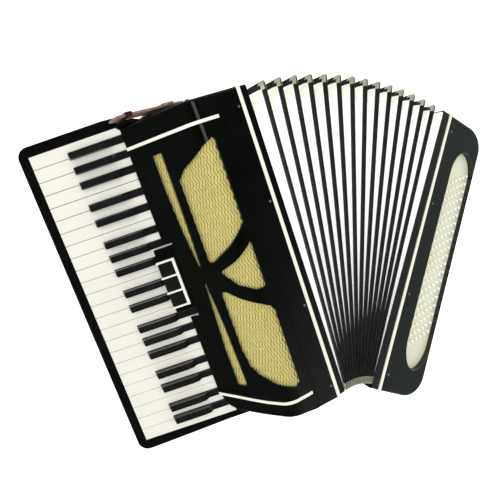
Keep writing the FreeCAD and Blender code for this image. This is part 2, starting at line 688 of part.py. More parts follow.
def make_bass_strap_wheel():
    wheel = cylinder(10, (50, BASS_Y[1] + 3, 85), (50, BASS_Y[1] + 11, 85))
    notches = []
    for step in range(18):
        angle = math.radians(step * 20)
        x, z = 50 + 10.4 * math.cos(angle), 85 + 10.4 * math.sin(angle)
        notches.append(cylinder(1.1, (x, BASS_Y[1], z), (x, BASS_Y[1] + 14, z)))
    bore = cylinder(3 + BORE_CLEARANCE, (50, BASS_Y[1], 85), (50, BASS_Y[1] + 14, 85))
    return bass(wheel.cut(group(notches + [bore])))


def make_bass_strap_stud():
    shaft = cylinder(3, (50, BASS_Y[1], 85), (50, BASS_Y[1] + 13, 85))
    flange = cylinder(12, (50, BASS_Y[1], 85), (50, BASS_Y[1] + 2.5, 85))
    head = cylinder(5.5, (50, BASS_Y[1] + 11.4, 85), (50, BASS_Y[1] + 13, 85))
    return bass(fuse([shaft, flange, head]))


def make_air_button():
    stem = cylinder(6.4, (BASS_WIDTH - 12, 405, 110), (BASS_WIDTH + 5, 405, 110))
    stem = round_edges(stem, 1.5, lambda e: e.BoundBox.XMin > BASS_WIDTH + 4.9)
    return bass(stem)


def make_bass_soundboard():
    board = box((6, 10), BASS_INNER_Y, INNER_Z)
    holes = [box((0, 20), (48 + 32 * i, 66 + 32 * i), (z, z + 12)) for i in range(12) for z in (60, 110)]
    return bass(board.cut(group(holes)))


# ---- bellows frames, bindings and pins ----------------------------------------------------------
def make_binding(y, proud=0.4):
    outer = (grow(y, proud), grow(CASE_Z, proud))
    inner = (grow(y, -WALL), INNER_Z)
    hoop = ring(RIM_X, outer, inner)
    return round_edges(hoop, 3.8, lambda e: along(e, (1, 0, 0)) and touches(e, outer[0]))


def touches(edge, span):
    point = edge.Vertexes[0].Point
    return min(abs(point.y - span[0]), abs(point.y - span[1])) < 1e-6


def make_bellows_frame(x, y):
    outer = (grow(y, -0.8), grow(CASE_Z, -0.8))
    inner = (grow(y, -15), grow(CASE_Z, -15))
    hoop = ring(x, outer, inner)
    return round_edges(hoop, 3, lambda e: along(e, (1, 0, 0)) and touches(e, outer[0]))


PIN_STEP = [21.0, 153.0, 311.0, 444.0]
PIN_R = 2.0


def make_pins(x, offset):
    """Domed pins that hold the bellows frame, along the front and back of the casing."""
    pins = []
    for y in PIN_STEP:
        for z, side in ((FRONT_Z, 1), (BACK_Z, -1)):
            head = Part.makeSphere(PIN_R, V(x, y + offset, z - side * 0.7))
            keep = box((x - 5, x + 5), (y + offset - 5, y + offset + 5),
                       (z, z + 5) if side > 0 else (z - 5, z))
            pins.append(head.common(keep))
    return pins


# ---- back pad, feet, straps ---------------------------------------------------------------------
def make_back_pad():
    pad = box((-136, -44), (46, 400), (0, BACK_Z))
    return round_edges(pad, 5, lambda e: along(e, (0, 0, 1)))


def make_bass_feet():
    feet = []
    for x in (22, 74):
        for y in (60, 400):
            feet.append(Part.makeCone(8, 10, BACK_Z, V(x, y, 0)))
    return bass(group(feet))


STRAP_THICK = 3.0
STRAP_WIDTH = 34.0


BEND = 16.0                  # half length of a strap's bends


def band(stations):
    """Flat strap through stations of (centre, width direction), its corners rounded into bends."""
    points = [(V(*centre), V(*across).normalize()) for centre, across in stations]
    marks = [0.0]
    for (near, _), (far, _) in zip(points, points[1:]):
        marks.append(marks[-1] + near.distanceToPoint(far))

    def at(distance):
        span = max(i for i, mark in enumerate(marks[:-1]) if mark <= distance + 1e-9)
        part = (distance - marks[span]) / (marks[span + 1] - marks[span])
        (near, near_width), (far, far_width) = points[span:span + 2]
        return near * (1 - part) + far * part, near_width * (1 - part) + far_width * part

    def smooth(distance):
        reach = min(BEND, distance, marks[-1] - distance)
        samples = [at(distance + reach * step / 6) for step in range(-6, 7)]
        centre, across = V(), V()
        for sample_centre, sample_across in samples:
            centre, across = centre + sample_centre / 13, across + sample_across / 13
        return centre, across

    count = int(marks[-1] / 5)
    line = [smooth(marks[-1] * step / count) for step in range(count + 1)]
    sections = []
    for index, (centre, across) in enumerate(line):
        forward = line[min(index + 1, count)][0] - line[max(index - 1, 0)][0]
        through = forward.cross(across).normalize() * (STRAP_THICK / 2)
        across = through.cross(forward).normalize() * (STRAP_WIDTH / 2)
        corners = [centre + across + through, centre + across - through,
                   centre - across - through, centre - across + through]
        sections.append(Part.makePolygon(corners + corners[:1]))
    return Part.makeLoft(sections, True, True)


RING_STAND = 5.8             # wire ring centre off its wall
WIRE_R = 1.5


def make_shoulder_straps():
    y = CASE_LENGTH + 8
    right, low = (1, 0, 0), 0.5 + STRAP_THICK / 2
    buckled_end = band([((-58, y, 127), (0.28, 0, 1)), ((-85, y, 134), (0.3, 0, 1)),
                        ((-115, y, 143), (0.26, 0, 1)), ((-157, y, 152), (0.2, 0, 1))])
    keyboard_strap = band([
        ((-82, y + 2, 113), right), ((-82, y + 4, 70), right), ((-83, y + 2, low), right),
        ((-88, 448, low), (1, 0.3, 0)), ((-110, 428, low), (0.6, 1, 0)),
        ((-168, 414, low), (0.6, 1, 0)), ((-190, 385, low), (1, 0.3, 0)),
        ((-192, 240, low), right), ((-188, 110, low), right), ((-176, 72, low), right),
        ((-173, 44, 13), right), ((-173, 22, 13), right)])
    x = -20
    body_strap = band([((x, y, 61), right), ((x, y, low), right), ((x, -9, low), right),
                       ((x, -9, 51), right)])
    return group([buckled_end, keyboard_strap, body_strap])


def d_ring(centre, axis):
    return Part.makeTorus(RING_STAND - WIRE_R - 0.1, WIRE_R, V(*centre), V(*axis))


def make_strap_brackets():
    """Screwed plates with wire rings that take the ends of the shoulder straps."""
    top = CASE_LENGTH
    plates = [
        box((-51, -38), (top, top + 2), (119, 142)),
        box((-30, -10), (top, top + 2), (66, 92)),
        slab_z([(-30, -2.5), (-10, -5.0), (-10, -2.14), (-30, 0.7)], 56, 82),
        box((SIDE_X - 2, SIDE_X), (30, 50), (15, 36)),
    ]
    loop = box((SIDE_X - 44, SIDE_X - 1), (37.5, 40.5), (6, 20))
    rings = [
        d_ring((-44.5, top + RING_STAND, 130), (0, 0, 1)),
        d_ring((-20, top + RING_STAND, 71), (1, 0, 0)),
        d_ring((-20, -2.3 - RING_STAND, 61), (1, 0, 0)),
        loop.cut(box((SIDE_X - 41, SIDE_X - 4), (30, 50), (9, 17))),
    ]
    return group([fuse([plate, hoop]) for plate, hoop in zip(plates, rings)])


# ---- assembly -----------------------------------------------------------------------------------
def build():
    nodes["treble_case"] = make_treble_case()
    nodes["keyboard_bed"] = make_keyboard_bed()
    nodes["grille_cover"] = make_grille_cover()
    nodes["grille_mesh"] = make_grille_mesh()
    nodes["cover_trim"] = make_cover_trim()
    nodes["treble_binding"] = make_binding(BINDING_Y)
    nodes["treble_bellows_frame"] = make_bellows_frame((RIM_X[1], 13.0), BINDING_Y)
    nodes["treble_pins"] = group(make_pins(-7.5, 0))
    nodes["key_axle"] = make_key_axle()
    make_keys()
    nodes["register_frame"] = make_register_frame()
    for number, cell in enumerate(switch_cells(), 1):
        nodes["register_switch_%d" % number] = make_register_switch(cell)
    nodes["treble_soundboard"] = make_treble_soundboard()
    nodes["treble_reed_blocks"] = reed_blocks(-31, 16, TREBLE_BLOCK_Z)
    nodes["back_pad"] = make_back_pad()
    nodes["shoulder_straps"] = make_shoulder_straps()
    nodes["strap_brackets"] = make_strap_brackets()
    for index in range(1, FOLDS + 1):
        nodes["bellows_fold_%02d" % index] = make_fold(index)
    nodes["bass_case"] = make_bass_case()
    nodes["bass_binding"] = bass(make_binding(BASS_Y))
    nodes["bass_bellows_frame"] = bass(make_bellows_frame((-17.5, RIM_X[0]), BASS_Y))
    nodes["bass_pins"] = bass(group(make_pins(10.2, -0.8)))
    nodes["bass_button_board"] = make_bass_button_board()
    for row in range(BUTTON_ROWS):
        nodes["bass_buttons_row_%d" % (row + 1)] = make_button_row(row)
    nodes["air_button"] = make_air_button()
    nodes["bass_strap"] = make_bass_strap()
    nodes["bass_strap_stud"] = make_bass_strap_stud()
    nodes["bass_strap_wheel"] = make_bass_strap_wheel()
    nodes["bass_soundboard"] = make_bass_soundboard()
    nodes["bass_reed_blocks"] = bass(reed_blocks(6, -38, BASS_BLOCK_Z))
    nodes["bass_feet"] = make_bass_feet()


build()
whole = group(list(nodes.values())).BoundBox
SHIFT = V(-(whole.XMin + whole.XMax) / 2, -(whole.YMin + whole.YMax) / 2, 0)

os.makedirs("parts", exist_ok=True)
for name, shape in nodes.items():
    shape.translate(SHIFT)
    shape.exportStep("parts/%s.step" % name)
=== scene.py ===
"""Piano accordion, fanned open on its back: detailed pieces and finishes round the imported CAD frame."""
import json
import math

import bmesh
import bpy
from mathutils import Matrix, Vector

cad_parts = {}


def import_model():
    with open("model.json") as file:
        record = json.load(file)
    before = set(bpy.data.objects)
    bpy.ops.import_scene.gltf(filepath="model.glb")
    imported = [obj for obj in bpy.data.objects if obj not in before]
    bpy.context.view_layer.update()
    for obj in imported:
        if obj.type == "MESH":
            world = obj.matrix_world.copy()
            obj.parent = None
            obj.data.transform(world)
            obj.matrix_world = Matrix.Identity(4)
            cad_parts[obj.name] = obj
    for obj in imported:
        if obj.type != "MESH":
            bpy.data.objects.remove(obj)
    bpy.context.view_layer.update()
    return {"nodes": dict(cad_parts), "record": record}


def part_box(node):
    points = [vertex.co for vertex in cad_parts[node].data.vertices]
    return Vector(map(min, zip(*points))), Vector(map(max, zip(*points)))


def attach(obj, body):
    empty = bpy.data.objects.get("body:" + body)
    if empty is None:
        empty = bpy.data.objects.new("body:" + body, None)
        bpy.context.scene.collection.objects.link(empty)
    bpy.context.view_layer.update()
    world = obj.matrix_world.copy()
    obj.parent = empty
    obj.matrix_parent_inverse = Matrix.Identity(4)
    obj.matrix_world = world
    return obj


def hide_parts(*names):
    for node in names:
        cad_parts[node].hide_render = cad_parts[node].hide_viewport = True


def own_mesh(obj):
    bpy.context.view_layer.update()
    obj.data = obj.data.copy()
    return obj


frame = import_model()
NODES = frame["nodes"]
MM = 0.001

# ---- layout, in millimetres, as in the CAD source: x from the treble binding, y from the lower end wall ----
CASE_LENGTH, BACK_Z, FRONT_Z = 470.0, 14.0, 204.0
ROLL_X, ROLL_R, RISER = -60.0, 30.0, math.radians(55)
FOLDS, FOLD_PITCH, FOLD_LENGTH = 14, 3.58, 471.0
FAN_START_X, FAN_FOOT_Y, FAN, FAN_EASE, BASS_SETBACK = 14.4, -2.2, math.radians(40.9), 0.045, 16.0
FOLD_Z = (BACK_Z + 4, FRONT_Z - 0.5)
STRAP_THICK, STRAP_WIDTH, STRAP_STEP, BEND = 3.0, 34.0, 4.0, 16.0
BASS_WIDTH = 93.8

low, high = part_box("treble_binding")
axle_low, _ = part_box("key_axle")
AXLE_INSET = 0.001           # the axle starts this far inside the casing's lower end
ORIGIN = Vector(((low.x + high.x) / 2, axle_low.y - AXLE_INSET, 0))


def place(x, y, z):
    """A point given in millimetres, in the row frame in metres."""
    return ORIGIN + Vector((x, y, z)) * MM


# ---- materials -------------------------------------------------------------------------------------------
class Nodes:
    """A material under construction, with short ways to add nodes and links."""

    def __init__(self, name, **values):
        self.material = bpy.data.materials.new(name)
        self.material.use_nodes = True
        self.tree = self.material.node_tree
        self.shader = self.tree.nodes["Principled BSDF"]
        for socket, value in values.items():
            self.shader.inputs[socket.replace("_", " ")].default_value = value

    def add(self, kind, inputs=None, **settings):
        node = self.tree.nodes.new("ShaderNode" + kind)
        for key, value in settings.items():
            setattr(node, key, value)
        for key, value in (inputs or {}).items():
            if isinstance(value, bpy.types.NodeSocket):
                self.tree.links.new(value, node.inputs[key])
            else:
                node.inputs[key].default_value = value
        return node

    def coords(self, scale=(1, 1, 1)):
        source = self.add("TexCoord").outputs["Object"]
        return self.add("Mapping", {"Vector": source, "Scale": scale}).outputs["Vector"]

    def noise(self, size, detail=4.0, scale=(1, 1, 1), roughness=0.55):
        """Noise whose blobs are about size metres."""
        inputs = {"Vector": self.coords(scale), "Scale": 1 / size, "Detail": detail, "Roughness": roughness}
        return self.add("TexNoise", inputs).outputs["Fac"]

    def ramp(self, value, low, high, low_value, high_value):
        inputs = {"Value": value, "From Min": low, "From Max": high,
                  "To Min": low_value, "To Max": high_value}
        return self.add("MapRange", inputs).outputs["Result"]

    def colour(self, value, first, second, low=0.35, high=0.65):
        inputs = {"Factor": self.ramp(value, low, high, 0, 1)}
        node = self.add("Mix", inputs, data_type="RGBA")
        for socket in node.inputs:
            if socket.type == "RGBA":
                socket.default_value = (*(first if socket.name == "A" else second), 1)
        return next(o for o in node.outputs if o.type == "RGBA")

    def base(self, socket):
        self.tree.links.new(socket, self.shader.inputs["Base Color"])
        return self

    def rough(self, socket):
        self.tree.links.new(socket, self.shader.inputs["Roughness"])
        return self

    def bump(self, height, distance, strength=1.0):
        """Bump of distance metres, on top of any bump already there."""
        inputs = {"Height": height, "Distance": distance, "Strength": strength}
        current = self.shader.inputs["Normal"]
        if current.links:
            inputs["Normal"] = current.links[0].from_socket
        self.tree.links.new(self.add("Bump", inputs).outputs["Normal"], current)
        return self


def celluloid(name, first, second, roughness=0.09, waviness=0.00003, glow=0.0):
    """Polished celluloid: faint colour swirl, uneven polish, slight waviness. glow is emitted light."""
    m = Nodes(name, IOR=1.5, Coat_Weight=0.25, Coat_Roughness=0.04, Emission_Strength=glow)
    m.base(m.colour(m.noise(0.05, 3), first, second))
    m.rough(m.ramp(m.noise(0.02, 6), 0.3, 0.7, roughness * 0.75, roughness * 1.35))
    m.bump(m.noise(0.06, 2), waviness).bump(m.noise(0.0006, 3), 0.0000012)
    return m.material


def metal(name, colour, roughness, grain=(1, 1, 1), metallic=1.0):
    m = Nodes(name, Metallic=metallic)
    m.base(m.colour(m.noise(0.004, 4), colour, tuple(c * 0.82 for c in colour)))
    m.rough(m.ramp(m.noise(0.0012, 5, grain), 0.3, 0.7, roughness * 0.7, roughness * 1.4))
    m.bump(m.noise(0.0005, 3, grain), 0.00001)
    return m.material


def leather(name, colour, roughness=0.5):
    m = Nodes(name, IOR=1.45)
    m.base(m.colour(m.noise(0.012, 5), colour, tuple(c * 0.72 for c in colour)))
    cells = m.add("TexVoronoi", {"Vector": m.coords(), "Scale": 900.0}, feature="F1").outputs["Distance"]
    m.rough(m.ramp(m.noise(0.006, 4), 0.3, 0.7, roughness * 0.8, roughness * 1.2))
    m.bump(cells, 0.00012, 0.6).bump(m.noise(0.004, 4), 0.0001, 0.5)
    return m.material


def tape(name):
    """Black bellows cloth tape with a fine pressed grain."""
    m = Nodes(name, IOR=1.38)
    m.base(m.colour(m.noise(0.01, 4), (0.006, 0.007, 0.006), (0.013, 0.014, 0.013)))
    m.rough(m.ramp(m.noise(0.003, 4), 0.3, 0.7, 0.38, 0.52))
    cells = m.add("TexVoronoi", {"Vector": m.coords(), "Scale": 1400.0}).outputs["Distance"]
    m.bump(cells, 0.00008, 0.5)
    return m.material


def card(name, first, second, glow=0.0):
    """Papered card of the bellows walls, with a faint watered pattern. glow is emitted light."""
    m = Nodes(name, Roughness=0.7, IOR=1.4, Emission_Strength=glow)
    m.base(m.colour(m.noise(0.006, 3, (0.4, 1, 1)), first, second, 0.3, 0.7))
    m.bump(m.noise(0.0012, 4), 0.00004, 0.6).bump(m.noise(0.04, 2), 0.0003, 0.5)
    return m.material


def wood(name, light, dark):
    m = Nodes(name, Roughness=0.55)
    bands = m.add("TexWave", {"Vector": m.coords((1, 0.06, 1)), "Scale": 120.0, "Distortion": 6.0,
                              "Detail": 3.0})
    m.base(m.colour(bands.outputs["Fac"], light, dark, 0.1, 0.9))
    m.bump(m.noise(0.0015, 4, (1, 0.1, 1)), 0.00008, 0.5)
    return m.material


def velvet(name, colour):
    m = Nodes(name, Roughness=0.9, Sheen_Weight=0.35, Sheen_Roughness=0.4)
    m.base(m.colour(m.noise(0.01, 5), colour, tuple(c * 1.6 for c in colour)))
    m.bump(m.noise(0.0009, 4), 0.0002, 0.7)
    return m.material


MATERIALS = {
    "black_celluloid": celluloid("black_celluloid", (0.0016, 0.0019, 0.0016), (0.0028, 0.0034, 0.0028)),
    # key_white's glow is painted light: a little emitted light that lifts the keys where they are shaded
    "key_white": celluloid("key_white", (0.71, 0.695, 0.62), (0.74, 0.72, 0.645), 0.16, glow=0.06),
    "key_black": celluloid("key_black", (0.006, 0.0065, 0.006), (0.010, 0.010, 0.011), 0.2),
    "cream_celluloid": celluloid("cream_celluloid", (0.84, 0.83, 0.74), (0.80, 0.78, 0.68), 0.2),
    "button_board": celluloid("button_board", (0.74, 0.74, 0.58), (0.70, 0.70, 0.53), 0.28),
    "button_white": celluloid("button_white", (0.90, 0.90, 0.83), (0.86, 0.86, 0.78), 0.15),
    "gold_mesh": metal("gold_mesh", (0.90, 0.80, 0.30), 0.42, metallic=0.4),
    "bright_metal": metal("bright_metal", (0.80, 0.80, 0.74), 0.22),
    "steel": metal("steel", (0.58, 0.58, 0.57), 0.3, (1, 0.05, 1)),
    "bellows_tape": tape("bellows_tape"),
    "wood": wood("wood", (0.62, 0.45, 0.27), (0.50, 0.33, 0.18)),
    "back_cloth": velvet("back_cloth", (0.012, 0.012, 0.014)),
    "tan_leather": leather("tan_leather", (0.36, 0.20, 0.15)),
    "black_leather": leather("black_leather", (0.012, 0.012, 0.012), 0.42),
    "black_knob": celluloid("black_knob", (0.010, 0.010, 0.010), (0.014, 0.014, 0.014), 0.25),
    "rubber_foot": leather("rubber_foot", (0.02, 0.02, 0.02), 0.8),
}
# The glow of bellows_card and gusset_leather is painted light: a little emitted light that lifts the shaded
# walls of the folds
CARD = card("bellows_card", (0.97, 0.975, 0.97), (0.90, 0.91, 0.90), 0.12)
GUSSET = card("gusset_leather", (0.88, 0.89, 0.82), (0.78, 0.79, 0.68), 0.08)
# painted shade: darker gold for the floor strips between the grille cloth's ribs
GOLD_SHADE = metal("gold_shade", (0.30, 0.24, 0.05), 0.5, metallic=0.4)
CORNER_METAL = metal("corner_metal", (0.78, 0.75, 0.58), 0.36, metallic=0.6)
THREAD = leather("thread", (0.55, 0.42, 0.30), 0.7)
BLACK_THREAD = leather("black_thread", (0.05, 0.05, 0.05), 0.6)

for entry in frame["record"]["subparts"]:
    node = NODES[entry["node"]]
    for index in range(len(node.material_slots)):
        node.material_slots[index].material = MATERIALS[entry["material_slot"]]
    if not node.material_slots:
        node.data.materials.append(MATERIALS[entry["material_slot"]])


# ---- mesh helpers ----------------------------------------------------------------------------------------
def piece(name, verts, faces, materials, body, sharp=30, indices=None):
    """A mesh from points in metres that rides on a body, smooth where its faces meet at a shallow angle."""
    mesh = bpy.data.meshes.new(name)
    mesh.from_pydata([tuple(v) for v in verts], [], faces)
    for material in materials:
        mesh.materials.append(material)
    if indices:
        mesh.polygons.foreach_set("material_index", indices)
    work = bmesh.new()
    work.from_mesh(mesh)
    bmesh.ops.recalc_face_normals(work, faces=work.faces)
    work.to_mesh(mesh)
    work.free()
    mesh.polygons.foreach_set("use_smooth", [True] * len(mesh.polygons))
    mesh.set_sharp_from_angle(angle=math.radians(sharp))
    obj = bpy.data.objects.new(name, mesh)
    bpy.context.scene.collection.objects.link(obj)
    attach(obj, body)
    return obj


class Builder:
    """Collects closed shells, each a grid of rings, into one mesh."""

    def __init__(self):
        self.verts, self.faces, self.indices = [], [], []

    def rings(self, rings, material=0, closed=False, caps=True, choose=None):
        """Joins rings of equal length in order. closed joins the last to the first."""
        start, count = len(self.verts), len(rings[0])
        for ring in rings:
            self.verts += ring
        steps = len(rings) if closed else len(rings) - 1
        for i in range(steps):
            a, b = start + i * count, start + (i + 1) % len(rings) * count
            for j in range(count):
                k = (j + 1) % count
                self.faces.append((a + j, a + k, b + k, b + j))
                self.indices.append(choose(i, j) if choose else material)
        if caps and not closed:
            self.faces.append(tuple(range(start, start + count)))
            last = start + (len(rings) - 1) * count
            self.faces.append(tuple(range(last, last + count)))
            self.indices += [material, material]

    def make(self, name, materials, body, sharp=30):
        return piece(name, self.verts, self.faces, materials, body, sharp, self.indices)


# ---- bellows ---------------------------------------------------------------------------------------------
RIDGE = 1.5                  # half width of a fold's taped edge
TAPE_DEPTH = 5.2             # of the tape along the front and back
END_TAPE_DEPTH = 10.5        # of the tape across the ends
VALLEY_DEPTH = 28.0
GUSSET_REACH = 15.0
CARD_THICK = 0.8
CORNER_REACH = 12.0          # of a metal cap, along each side from its corner
CORNER_DEPTH = 5.6           # of a metal cap, down the walls of its fold
CORNER_RADIUS = 3.6
RIDGE_DEPTH = 0.6            # the skin leaves the taped edge here and flares towards the valley
VALLEY_GAP = 0.03            # from each fold's valley to the middle of the gap
TREBLE_FRAME_EDGE, BASS_FRAME_EDGE = 13.05, -17.55     # where the bellows ends meet their frames
SIDE_STEPS = 10
MARKS = 12                   # per loop: a gusset limit, a corner and a gusset limit, four times
STEPS = [SIDE_STEPS if i in (5, 11) else 1 for i in range(MARKS)]          # the long sides are divided
ON_SIDE = [i % 3 == 2 for i in range(MARKS) for _ in range(STEPS[i])]      # else within a gusset
STATIONS = range(len(ON_SIDE))


def fold_angle(index):
    part = index / (FOLDS + 1)
    return FAN * (part + FAN_EASE * part * (1 - part))


def fold_foot(index):
    x, y = FAN_START_X, FAN_FOOT_Y
    for step in range(1, index + 1):
        middle = (fold_angle(step) + fold_angle(step - 1)) / 2
        x += FOLD_PITCH * math.cos(middle)
        y -= FOLD_PITCH * math.sin(middle)
    return x, y


def fanned(foot, angle):
    """Maps (u across the fold, v along it, z) to the row frame."""
    c, s = math.cos(angle), math.sin(angle)
    return lambda u, v, z: place(foot[0] + u * c + v * s, foot[1] - u * s + v * c, z)


BASS_FOOT = (fold_foot(FOLDS + 1)[0] + BASS_SETBACK * math.cos(FAN),
             fold_foot(FOLDS + 1)[1] - BASS_SETBACK * math.sin(FAN))
BASS = fanned(BASS_FOOT, FAN)


def loop_stations(depth, end_depth=None):
    """Points round the fold at a depth below its outer edge, or at end_depth across its two ends."""
    end_depth = end_depth or depth
    v0, v1 = end_depth, FOLD_LENGTH - end_depth
    z0, z1 = FOLD_Z[0] + depth, FOLD_Z[1] - depth
    corners = [(v0, z0), (v0, z1), (v1, z1), (v1, z0)]
    reach = CORNER_RADIUS + 0.4 + GUSSET_REACH * depth / VALLEY_DEPTH
    pull = max(0.4 * (CORNER_RADIUS - depth), 0.0)
    marks = []
    for i, (v, z) in enumerate(corners):
        for near in (corners[i - 1], None, corners[(i + 1) % 4]):
            if near is None:
                marks.append((v + math.copysign(pull, FOLD_LENGTH / 2 - v),
                              z + math.copysign(pull, (FOLD_Z[0] + FOLD_Z[1]) / 2 - z)))
            else:
                length = math.hypot(near[0] - v, near[1] - z)
                marks.append((v + (near[0] - v) * reach / length, z + (near[1] - z) * reach / length))
    stations = []
    for i, (v, z) in enumerate(marks):
        far_v, far_z = marks[(i + 1) % MARKS]
        steps = STEPS[i]
        stations += [(v + (far_v - v) * k / steps, z + (far_z - z) * k / steps) for k in range(steps)]
    return stations


def depth_at(v, z):
    """Depth below the nearest outer edge."""
    return min(v, FOLD_LENGTH - v, z - FOLD_Z[0], FOLD_Z[1] - z)


def flare(index, side):
    """Half width of the fold skin at the valley, as (at its foot, growth along v)."""
    other = index + side
    return FOLD_PITCH / 2 - VALLEY_GAP, math.tan(abs(fold_angle(other) - fold_angle(index)) / 2)


def half_width(index, side, v, depth, proud=0.0):
    base, growth = flare(index, side)
    part = max(depth - RIDGE_DEPTH, 0) / (VALLEY_DEPTH - RIDGE_DEPTH)
    return RIDGE + (base + v * growth - RIDGE) * part + proud


def corner_cap(build, to_world, width, material):
    """Four thin metal caps folded round the corners. width(side, v, depth) is the surface they cover."""
    spans = [((0, FOLD_Z[0]), (1, 1)), ((0, FOLD_Z[1]), (1, -1)),
             ((FOLD_LENGTH, FOLD_Z[1]), (-1, -1)), ((FOLD_LENGTH, FOLD_Z[0]), (-1, 1))]
    bends = [(None, None, angle) for angle in range(0, 91, 18)]
    stations = [(CORNER_REACH, 0.0, None)] + bends + [(0.0, CORNER_REACH, None)]
    profile = [(CORNER_DEPTH, -1, 0.25), (0.5, -1, 0.25), (0.0, -1, 0.0), (-0.28, -1, -0.5),
               (-0.28, 1, -0.5), (0.0, 1, 0.0), (0.5, 1, 0.25), (CORNER_DEPTH, 1, 0.25),
               (CORNER_DEPTH, 1, 0.02), (0.9, 1, -0.1), (0.35, 1, -0.7),
               (0.35, -1, -0.7), (0.9, -1, -0.1), (CORNER_DEPTH, -1, 0.02)]
    for (cv, cz), (sv, sz) in spans:
        rings = []
        for along_v, along_z, angle in stations:
            ring = []
            for depth, side, proud in profile:
                if angle is None:
                    v = along_v if along_v else depth
                    z = along_z if along_z else depth
                else:
                    a = math.radians(angle)
                    bend = max(CORNER_RADIUS - depth, 0.15)
                    shift = max(CORNER_RADIUS, depth)
                    v = shift - bend * math.sin(a)
                    z = shift - bend * math.cos(a)
                at_v = cv + sv * v
                half = max(width(side, at_v, max(depth, RIDGE_DEPTH)) + proud, 0.25)
                ring.append(to_world(side * half, at_v, cz + sz * z))
            rings.append(ring)
        build.rings(rings, material)


def bellows_fold(index):
    """The skin of one fold and its stiff taped edge."""
    to_world = fanned(fold_foot(index), fold_angle(index))
    body = "fold_%02d" % index
    outer = [(VALLEY_DEPTH, 0.0), (TAPE_DEPTH, 0.0), (TAPE_DEPTH, 0.25), (0.6, 0.2), (0.15, -0.35)]
    section = [(d, -1, p) for d, p in outer] + [(0.0, 0, 0.0)] + [(d, 1, p) for d, p in reversed(outer)]
    section += [(VALLEY_DEPTH, 1, -CARD_THICK), (3.2, 1, -0.9), (3.2, -1, -0.9),
                (VALLEY_DEPTH, -1, -CARD_THICK)]
    loops = [loop_stations(d, END_TAPE_DEPTH if d == TAPE_DEPTH else None) for d, _, _ in section]
    rings = []
    for station in STATIONS:
        ring = []
        for (_, side, proud), loop in zip(section, loops):
            v, z = loop[station]
            u = side * half_width(index, side, v, depth_at(v, z), proud) if side else 0.0
            ring.append(to_world(u, v, z))
        rings.append(ring)

    def choose(i, j):
        """Card or gusset on the two walls, tape over the ridge between them and inside."""
        if j in (0, 9):
            return 1 if ON_SIDE[i] else 2
        return 0 if 1 <= j <= 8 else 1

    skin = Builder()
    skin.rings(rings, closed=True, choose=choose)
    corner_cap(skin, to_world, lambda side, v, d: half_width(index, side, v, d, 0.2), 3)
    materials = [MATERIALS["bellows_tape"], CARD, GUSSET, CORNER_METAL]
    obj = skin.make("bellows_skin_%02d" % index, materials, body, 25)
    across = to_world(1, 0, 0) - to_world(0, 0, 0)
    tuple(to_world(0, 0, FRONT_Z))
    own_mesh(obj)

    edge = Builder()
    outer = [(9.0, -1.2), (0.7, -1.2), (0.3, -0.6), (0.3, 0.6), (0.7, 1.2), (9.0, 1.2)]
    loops = [loop_stations(d) for d, _ in outer]
    rings = [[to_world(u, *loop[station]) for (_, u), loop in zip(outer, loops)] for station in STATIONS]
    edge.rings(rings, closed=True)
    corner_cap(edge, to_world, lambda side, v, d: RIDGE - 0.02, 1)
    core = edge.make("bellows_edge_%02d" % index, [MATERIALS["bellows_tape"], CORNER_METAL], body,
                     25)
    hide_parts("bellows_fold_%02d" % index)


def bellows_end(name, to_world, root_u, valley_u, growth, body):
    """Half fold that joins the bellows to a casing. valley_u is its valley at the foot, growing along v."""
    way = 1 if valley_u > root_u else -1
    section = [(1.5, None), (VALLEY_DEPTH, 0.0), (VALLEY_DEPTH, -CARD_THICK * way), (4.0, None)]
    loops = [loop_stations(depth) for depth, _ in section]
    rings = []
    for station in STATIONS:
        ring = []
        for (_, offset), loop in zip(section, loops):
            v, z = loop[station]
            u = root_u if offset is None else valley_u + way * v * growth + offset
            ring.append(to_world(u, v, z))
        rings.append(ring)
    build = Builder()
    build.rings(rings, closed=True, choose=lambda i, j: 0 if ON_SIDE[i] else 1)
    obj = build.make(name, [CARD, GUSSET], body, 25)
    across = to_world(1, 0, 0) - to_world(0, 0, 0)
    tuple(to_world(root_u, 0, FRONT_Z))
    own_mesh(obj)


for number in range(1, FOLDS + 1):
    bellows_fold(number)
first_growth = math.tan(fold_angle(1) / 2)
last_growth = math.tan((fold_angle(FOLDS + 1) - fold_angle(FOLDS)) / 2)
bellows_end("bellows_end_treble", fanned((0, FAN_FOOT_Y), 0), TREBLE_FRAME_EDGE,
            FAN_START_X + FOLD_PITCH / 2, first_growth, "treble_side")
bellows_end("bellows_end_bass", BASS, BASS_FRAME_EDGE, -BASS_SETBACK - FOLD_PITCH / 2, last_growth,
            "bass_side")


# ---- gold grille cloth: pressed zigzag ribs that follow the cover -----------------------------------------
RIB_PITCH, ZIGZAG, ZIGZAG_REACH = 5.0, 14.0, 2.6
MESH_SPAN, MESH_Y = (-12.0, 112.0), (48.0, 424.0)
MESH_PEAK, MESH_FLOOR = 3.15, 3.95


def cover_point(distance, inset):
    """(x, z) on the cover's outline, distance along it from the start of its roll, moved inwards."""
    radius = ROLL_R - inset
    arc = ROLL_R * RISER
    if distance <= 0:
        return ROLL_X - distance, FRONT_Z - inset
    angle = min(distance / ROLL_R, RISER)
    x = ROLL_X - radius * math.sin(angle)
    z = FRONT_Z - ROLL_R + radius * math.cos(angle)
    rest = max(distance - arc, 0)
    return x - rest * math.cos(RISER), z - rest * math.sin(RISER)


